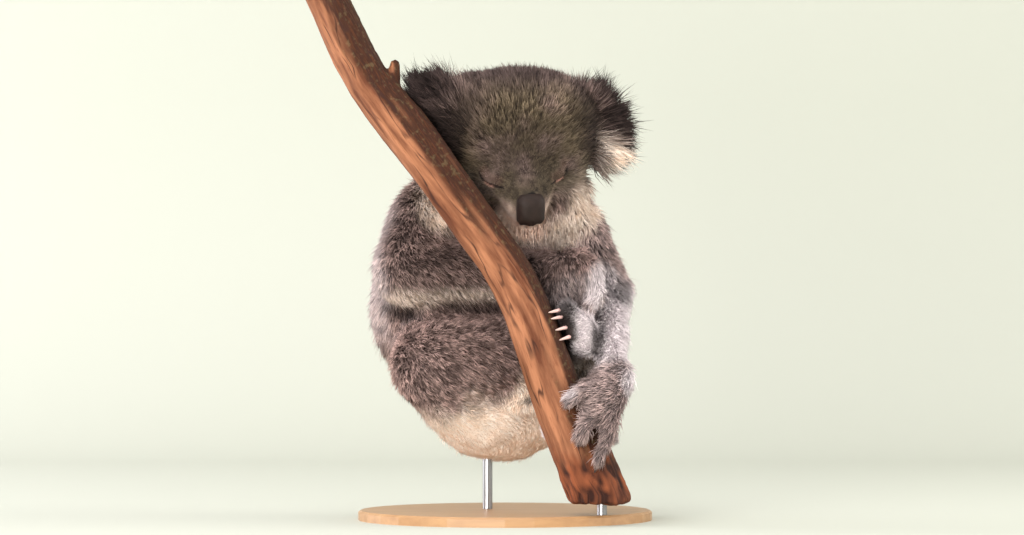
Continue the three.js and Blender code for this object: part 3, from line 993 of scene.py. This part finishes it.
def grow_coat(material):
    mesh = skin.data
    co = coords(mesh)
    from_eye = np.minimum(*(length_of(in_head_mm(co) - eye_middle(side)) for side in (1, -1)))
    by_eyes = ramp(from_eye, 30, 22)
    marks = mark_skin(mesh, by_eyes)
    dense = by_kind(share, "dense")
    dense *= 1 + 0.9 * of_node(share, "head") * (1 - face_growth(co)) + 0.8 * by_eyes
    tris, loops, inside = scatter(mesh, dense)
    root = blend(co, tris, inside)
    keep = (bare_at(root) < 0.5) & (root[:, 2] > LOWEST_ROOT)
    tris, loops, inside, root = (v[keep] for v in (tris, loops, inside, root))
    up = unit(blend(normals(mesh), tris, inside))
    lie = blend(lie_of_coat(mesh, share), tris, inside)
    own = blend(share, tris, inside)
    marks = {k: blend(v, tris, inside) for k, v in marks.items()}
    n = len(root)

    long = length_at(root, own) * (1 + fringe(root, up)) * MM
    deep = coat_depth(root, own)
    part = {k: of_kind(own, k) for k in BODY}
    patchy = noise(root, 0.012, 5) - 0.5
    stray = rng.random(n) < STRAYS + EAR_STRAYS * part["ear"]
    long *= (0.95 + 0.35 * patchy) * rng.uniform(0.72, 1.18, n)
    long *= np.where(stray, 1.15 + 0.17 * part["ear"], 1)
    lift = np.arcsin(np.clip(deep / np.maximum(long, 1e-4), 0.1, 0.86))
    crown = part["head"] * ramp(in_head_mm(root)[:, 2], 28, 52)
    corner = part["head"] * beside_ears(root)
    crown = np.maximum(crown, corner * (1 + ramp(in_head_mm(root)[:, 2], 26, 46)))
    tail = part["trunk"] * ramp(-up[:, 2], 0.75, 0.97)
    lift += rng.normal(0, LIFT, n) + 0.3 * patchy + 0.35 * stray + 0.45 * crown
    lift += 0.2 * part["ear"] - 0.1 * tail + 0.5 * fringe(root, up)
    swing = rng.normal(0, SWING, n)
    across = np.cross(up, lie)
    lie = unit(lie * np.cos(swing)[:, None] + across * np.sin(swing)[:, None])
    root = root - up * ROOT_IN

    def step(angle):
        return lie * np.cos(angle)[:, None] + up * np.sin(angle)[:, None]

    mid = root + step(lift * 1.3) * (long * 0.5)[:, None]
    tip = mid + step(lift * 0.62) * (long * 0.5)[:, None]
    lock = 6 + 3 * np.clip(part["trunk"] + part["neck"] + part["thigh"] + part["upper_arm"], 0, 1)
    pull = (0.3 + 0.3 * part["ear"]) * ramp(long, 0.003, 0.01) * ~stray
    gathered, nearest = gather(root, up, tip, lock + 6 * part["ear"], pull)
    mid = mid + (gathered - tip) * 0.4
    tip = gathered

    hard = hard_bodies()
    clear = outside(hard, root) & outside(hard, mid)
    inside_tip = ~outside(hard, tip)
    tip[inside_tip] = mid[inside_tip] + (tip[inside_tip] - mid[inside_tip]) * 0.35
    clear &= outside(hard, tip)

    side = unit(np.cross(up, lie))
    thick = (THIN_MM + THICKER_MM * ramp(long, 0.002, 0.018)) * MM * rng.uniform(0.8, 1.2, n)
    thick *= np.where(stray, 0.7, 1)
    chance = 0.3 * rng.random(n) + 0.7 * rng.random(n)[nearest]
    uv = blend(read(mesh.uv_layers["OFBake"].data, "uv", 2), loops, inside)
    marks["chance"] = chance

    tufts = {"root": root, "mid": mid, "tip": tip, "side": side, "thick": thick, "long": long, "uv": uv}
    pieces_of_coat(tufts, marks, np.where(clear, own.argmax(1), -1), material)


# ---- materials


def linear(r, g, b):
    """A colour as the renderer keeps it, from the usual 0 to 255."""
    return tuple((c / 255) ** 2.2 for c in (r, g, b)) + (1,)


def paint(obj, material):
    obj.data.materials.clear()
    obj.data.materials.append(material)


class Nodes:
    """A short way to write a material's nodes."""

    def __init__(self, name, roughness, specular=0.5, metallic=0):
        self.material = bpy.data.materials.new(name)
        self.material.use_nodes = True
        self.tree = self.material.node_tree
        self.shader = self.tree.nodes["Principled BSDF"]
        self.shader.inputs["Roughness"].default_value = roughness
        self.shader.inputs["Specular IOR Level"].default_value = specular
        self.shader.inputs["Metallic"].default_value = metallic

    def put(self, target, value):
        if isinstance(value, bpy.types.NodeSocket):
            self.tree.links.new(value, target)
        else:
            target.default_value = value

    def new(self, kind_of, *values, **named):
        """A node with values put in its first inputs, or in those named."""
        node = self.tree.nodes.new("ShaderNode" + kind_of)
        for socket, value in [*enumerate(values), *named.items()]:
            self.put(node.inputs[socket], value)
        return node

    def attribute(self, name, output="Fac"):
        node = self.new("Attribute")
        node.attribute_name = name
        return node.outputs[output]

    def math(self, kind_of, *values):
        node = self.new("Math", *values)
        node.operation = kind_of
        return node.outputs[0]

    def mix(self, share_of, a, b, blend_type="MIX"):
        node = self.new("Mix")
        node.data_type = "RGBA"
        node.blend_type = blend_type
        node.clamp_factor = True
        for socket, value in ((0, share_of), (6, a), (7, b)):
            self.put(node.inputs[socket], value)
        return node.outputs[2]

    def between(self, share_of, dark, light):
        return self.mix(share_of, linear(*dark), linear(*light))

    def span(self, value, low, high, new_low=0.0, new_high=1.0):
        return self.new("MapRange", value, low, high, new_low, new_high).outputs[0]

    def noise(self, vector, scale, detail=3.0):
        return self.new("TexNoise", Scale=scale, Detail=detail, Vector=vector).outputs["Fac"]

    def place(self):
        return self.new("TexCoord").outputs["Object"]

    def bump(self, height, distance, strength=1.0):
        node = self.new("Bump", Distance=distance, Strength=strength, Height=height)
        self.put(self.shader.inputs["Normal"], node.outputs[0])

    def colour(self, value):
        self.put(self.shader.inputs["Base Color"], value)
        return self.material


# Each of the fur's marks: its darkest and its lightest hairs. What has none of the marks is grey.
GREY = ((30, 24, 19), (142, 125, 102))
FUR = {
    "warm": ((35, 23, 22), (206, 174, 166)),
    "pale": ((196, 184, 188), (255, 248, 250)),
    "cream": ((252, 222, 198), (255, 246, 236)),
    "dark": ((16, 11, 11), (61, 50, 48)),
}
SKIN_PINK = (228, 168, 150)


def fur_material():
    n = Nodes("fur", 0.82, 0.2)
    chance, along = n.attribute("chance"), n.attribute("along")
    colour = n.between(chance, *GREY)
    for mark, pair in FUR.items():
        hair = n.between(chance, *pair)
        colour = n.mix(n.attribute(mark), colour, hair)
    colour = n.mix(n.attribute("pink"), colour, linear(*SKIN_PINK))
    # Painted shade and light: each hair is darkened towards its root as the coat's own shade, least on the
    # fair marks and most where the coat is tipped, and lightened past its colour towards its tip, partly
    # the hair's own pale tips and partly painted light.
    tipped = n.attribute("tipped")
    fair = n.math("MAXIMUM", n.attribute("cream"), n.attribute("pale"))
    root = n.math("ADD", n.span(tipped, 0, 1, 0.5, 0.2), n.math("MULTIPLY", fair, 0.4))
    shade = n.span(along, 0.0, 1.0, root, n.span(tipped, 0, 1, 1.12, 1.38))
    tip = n.math("MULTIPLY", n.span(along, 0.5, 1.0), n.span(chance, 0.55, 0.75))
    lit = n.math("ADD", shade, n.math("MULTIPLY", tip, 0.28))
    grey_level = n.new("CombineColor", lit, lit, lit)
    return n.colour(n.mix(1.0, colour, grey_level.outputs[0], "MULTIPLY"))


# ---- the branch


def copy_of(node, name):
    """A copy of a node's mesh, with its facets joined at their points."""
    mesh = frame["nodes"][node].data.copy()
    bm = bmesh.new()
    bm.from_mesh(mesh)
    bmesh.ops.remove_doubles(bm, verts=bm.verts, dist=0.01 * MM)
    bm.to_mesh(mesh)
    bm.free()
    return show(name, mesh)


def branch_axis(co):
    """The branch's middle at each point's height, and the length along it up to there."""
    heights = np.linspace(co[:, 2].min() + 0.01, co[:, 2].max() - 0.01, 26)
    middles = []
    for height in heights:
        weight = np.exp(-(((co[:, 2] - height) / 0.01) ** 2))
        middles.append((co * weight[:, None]).sum(0) / weight.sum())
    middles = np.array(middles)
    steps = length_of(np.diff(middles, axis=0))
    lengths = np.concatenate([[0], np.cumsum(steps)])
    at = np.stack([np.interp(co[:, 2], middles[:, 2], middles[:, i]) for i in range(2)], 1)
    return at, np.interp(co[:, 2], middles[:, 2], lengths)


def make_branch(material):
    branch = copy_of("branch", "bark")
    mesh = remeshed(branch, BARK_VOXEL)
    co = coords(mesh)
    co = eased(co, mesh, 30, *KEEP_FORM)
    move(mesh, eased(co, mesh, 6))
    co, normal = coords(mesh), normals(mesh)
    middle_at, length = branch_axis(co)
    grain = np.column_stack([co[:, :2] - middle_at, length * 0.16])
    low = ramp(co[:, 2] + 0.02 * (noise(co, 0.02, 20) - 0.5), 0.085, 0.05)
    upper = normal @ unit([0.85, 0.15, 0.5])
    high_up = 0.4 * ramp(co[:, 2], 0.36, 0.48)
    shade = ramp(upper + high_up + 0.9 * (noise(grain, 0.012, 21) - 0.5), -0.12, 0.38)
    flake = noise(grain * [1, 1, 2.6], 0.006, 24) + 0.6 * noise(grain * [1, 1, 2.6], 0.003, 25)
    height = 1.5 * (noise(grain, 0.014, 26) - 0.5) + 0.7 * (noise(grain, 0.005, 27) - 0.5)
    height += 0.8 * shade * (noise(co, 0.004, 28) - 0.5)
    height += low * 2.6 * (flake - 0.8)
    move(mesh, co + normal * (height * MM)[:, None])
    store(mesh, shade=shade, low=low, flake=flake)
    mesh.attributes.new("grain", "FLOAT_VECTOR", "POINT").data.foreach_set(
        "vector", grain.astype(np.float32).ravel())
    mesh.shade_smooth()
    paint(belongs(branch, "bark", "branch"), material)


def bark_material():
    n = Nodes("bark", 0.8, 0.25)
    grain = n.attribute("grain", "Vector")
    broad, fine = n.noise(grain, 90, 4), n.noise(grain, 420, 4)
    tan = n.between(n.span(broad, 0.35, 0.65), (90, 52, 34), (162, 109, 79))
    brown = n.between(n.span(fine, 0.3, 0.7), (26, 14, 8), (73, 40, 20))
    spots = n.span(n.noise(n.place(), 190, 3), 0.55, 0.68)
    brown = n.mix(n.math("MULTIPLY", spots, 0.4), brown, linear(98, 86, 60))
    colour = n.mix(n.attribute("shade"), tan, brown)
    red = n.mix(n.span(n.attribute("flake"), 0.5, 1.1), linear(46, 22, 13), linear(128, 72, 46))
    colour = n.mix(n.attribute("low"), colour, red)
    colour = n.mix(n.span(fine, 0.42, 0.3, 0.0, 0.5), colour, linear(98, 52, 33))
    split = n.math("ABSOLUTE", n.math("SUBTRACT", n.noise(grain, 62, 2), 0.5))
    split = n.math("MULTIPLY", n.span(split, 0.03, 0.006), n.span(n.noise(n.place(), 28, 2), 0.4, 0.56))
    colour = n.mix(n.math("MULTIPLY", split, 0.85), colour, linear(52, 30, 22))
    n.bump(n.math("ADD", fine, n.math("MULTIPLY", broad, 1.5)), 0.0012, 0.7)
    return n.colour(colour)


# ---- claws, nose and eyes

CLAW_ROOT_MM = 6


def make_claw(node, material):
    """A smooth curved claw that reaches back under the coat into its toe."""
    claw = copy_of(node, "horn_" + node[5:])
    mesh = claw.data
    co = coords(mesh)
    centre = co.mean(0)
    _, _, axes = np.linalg.svd(co - centre)
    t = (co - centre) @ axes[0]
    radius = length_of(co - centre - t[:, None] * axes[0])
    base = t < t.mean()
    if radius[base].max() < radius[~base].max():
        base, t, axes[0] = ~base, -t, -axes[0]
    back = CLAW_ROOT_MM * MM * ramp(-t, 0, -t.min())
    move(mesh, co - axes[0] * back[:, None])
    claw.modifiers.new("smooth", "SUBSURF").levels = 2
    mesh = after_modifiers(claw)
    t = (coords(mesh) - centre) @ axes[0]
    store(mesh, along=ramp(t, t.min() * 0.4, t.max()))
    mesh.shade_smooth()
    paint(belongs(claw, "claw", node), material)


def claw_material(name, base, tip):
    n = Nodes(name, 0.35)
    streak = n.noise(n.place(), 600, 2)
    colour = n.mix(n.attribute("along"), base, tip)
    colour = n.mix(n.math("MULTIPLY", streak, 0.35), colour, linear(40, 32, 30))
    return n.colour(colour)


NOSE_LOWER_MM = 1.5
NOSE_WIDER = 0.07
NOSE_SQUARE = 0.22  # how much wider the bare nose's upper and lower ends are made


def make_nose(material):
    nose = copy_of("nose", "nose_pad")
    mesh = remeshed(nose, NOSE_VOXEL)
    co = eased(coords(mesh), mesh, 40, *KEEP_FORM)
    h = in_head_mm(eased(co, mesh, 10))
    q = h - NOSE_AT
    h[:, 0] += q[:, 0] * (NOSE_WIDER + NOSE_SQUARE * np.abs(q[:, 2] / 16) ** 2)
    q = h - NOSE_AT
    nostrils = [(q - [6.2 * side, 8, -11]) / [1, 1, 1.5] for side in (1, -1)]
    dent = sum(bump(length_of(off), 3.6) for off in nostrils)
    groove = bump(q[:, 0], 1.0) * ramp(q[:, 2], -4, -9)
    h[:, 2] -= NOSE_LOWER_MM
    h[:, 1] -= 4.2 * dent + 1.0 * groove * ramp(q[:, 1], 0, 5)
    move(mesh, HEAD + h * MM @ HEAD_AXES)
    mesh.shade_smooth()
    paint(belongs(nose, "leather", "nose"), material)


def leather_material():
    n = Nodes("leather", 0.62, 0.25)
    place = n.place()
    pebble = n.new("TexVoronoi", Scale=900, Vector=place)
    blotch = n.noise(place, 140, 2)
    n.bump(pebble.outputs["Distance"], 0.0004, 0.5)
    return n.colour(n.between(blotch, (27, 18, 14), (45, 33, 28)))


def make_eye(node, material):
    ball = bmesh.new()
    bmesh.ops.create_uvsphere(ball, u_segments=40, v_segments=28, radius=EYE_MM * MM)
    mesh = bpy.data.meshes.new(node)
    ball.to_mesh(mesh)
    ball.free()
    move(mesh, coords(mesh) + from_head_mm(*eye_middle(1 if node == "eye_left" else -1)))
    mesh.shade_smooth()
    paint(belongs(show(node + "_ball", mesh), "eye", node), material)


def eye_material():
    n = Nodes("eye", 0.12)
    return n.colour(n.mix(n.noise(n.place(), 260, 3), linear(26, 18, 14), linear(60, 40, 28)))


# ---- the stand


def board_material():
    n = Nodes("plate", 0.45)
    stretch = n.new("VectorMath", n.place(), (0.1, 1, 1))
    stretch.operation = "MULTIPLY"
    lines = n.noise(stretch.outputs[0], 120, 5)
    return n.colour(n.between(lines, (136, 100, 68), (186, 146, 104)))


def steel_material():
    n = Nodes("steel", 0.32, metallic=1)
    brushed = n.noise(n.place(), 800, 2)
    return n.colour(n.between(brushed, (120, 120, 122), (168, 168, 170)))


fur = fur_material()
paint(skin, fur)
grow_coat(fur)
make_branch(bark_material())
dark_claw = claw_material("claw", linear(110, 92, 86), linear(40, 32, 32))
pale_claw = claw_material("claw pale", linear(240, 196, 190), linear(214, 186, 176))
for node in CLAWS:
    make_claw(node, pale_claw if "foot_right" in node else dark_claw)
make_nose(leather_material())
wet = eye_material()
for node in EYES:
    make_eye(node, wet)
board, steel = board_material(), steel_material()
for node, slot, material in (
    ("stand_base", "plate", board),
    ("stand_rod_body", "steel", steel),
    ("stand_rod_branch", "steel", steel),
):
    paint(frame["nodes"][node], material)

# ---- stage, lamps and camera

DISTANCE = 4.0  # from the camera to the branch's upright plane
WIDTH_IN_VIEW = 1.024
VIEW_ASIDE, VIEW_HEIGHT = 0.007, 0.2575


def backdrop_material():
    """Pale, and clear where it is seen from behind, so that the model can be looked at from there."""
    n = Nodes("backdrop", 0.95)
    n.colour(linear(187, 190, 179))
    behind, clear = n.new("NewGeometry").outputs["Backfacing"], n.new("BsdfTransparent").outputs[0]
    either = n.new("MixShader", behind, n.shader.outputs[0], clear)
    n.put(n.tree.nodes["Material Output"].inputs["Surface"], either.outputs[0])
    return n.material


def stage():
    """A floor that curves up into a wall behind the model."""
    front, back, rise, turn, half = -6.5, 1.2, 2.6, 0.5, 6.5
    turns = np.linspace(0, math.pi / 2, 13)
    curve = [(back + turn * math.sin(a), turn - turn * math.cos(a)) for a in turns]
    line = [(front, 0.0), *curve, (back + turn, rise)]
    verts = [(x, y, z) for y, z in line for x in (-half, half)]
    faces = [(2 * i, 2 * i + 1, 2 * i + 3, 2 * i + 2) for i in range(len(line) - 1)]
    mesh = bpy.data.meshes.new("backdrop")
    mesh.from_pydata(verts, [], faces)
    mesh.shade_smooth()
    obj = show("backdrop", mesh)
    paint(obj, backdrop_material())


def lamp(name, at, aim, size, power, colour=(1, 1, 1)):
    light = bpy.data.lights.new(name, "AREA")
    light.shape = "DISK"
    light.size = size
    light.energy = power
    light.color = colour
    obj = show(name, light)
    obj.location = at
    towards = Vector(aim) - Vector(at)
    obj.rotation_euler = towards.to_track_quat("-Z", "Y").to_euler()


def light_and_camera():
    scene = bpy.context.scene
    scene.view_settings.view_transform = "Standard"
    lamp("sky", (-0.4, -0.8, 2.2), (0, 0, 0.25), 1.8, 29)
    lamp("left", (-2.2, 0.6, 0.6), (0, 0, 0.25), 1.4, 44, (0.96, 0.93, 1))
    lamp("right", (2.2, -0.2, 0.9), (0, 0, 0.25), 1.4, 34, (1, 0.97, 0.93))
    lamp("low", (-0.7, -2.0, 0.1), (0, 0, 0.08), 1.2, 80, (1, 0.95, 0.905))
    scene.world = bpy.data.worlds.new("world")
    scene.world.use_nodes = True
    sky = scene.world.node_tree.nodes["Background"]
    sky.inputs["Color"].default_value = (1.0, 0.97, 0.94, 1)
    sky.inputs["Strength"].default_value = 0.85

    branch_lo, branch_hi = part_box("stand_rod_branch")
    camera = bpy.data.cameras.new("camera")
    camera.sensor_width = 36
    camera.lens = camera.sensor_width * DISTANCE / WIDTH_IN_VIEW
    obj = scene.camera = show("camera", camera)
    plane = (branch_lo.y + branch_hi.y) / 2
    obj.location = (VIEW_ASIDE, plane - DISTANCE, VIEW_HEIGHT)
    obj.rotation_euler = (math.pi / 2, 0, 0)


stage()
light_and_camera()
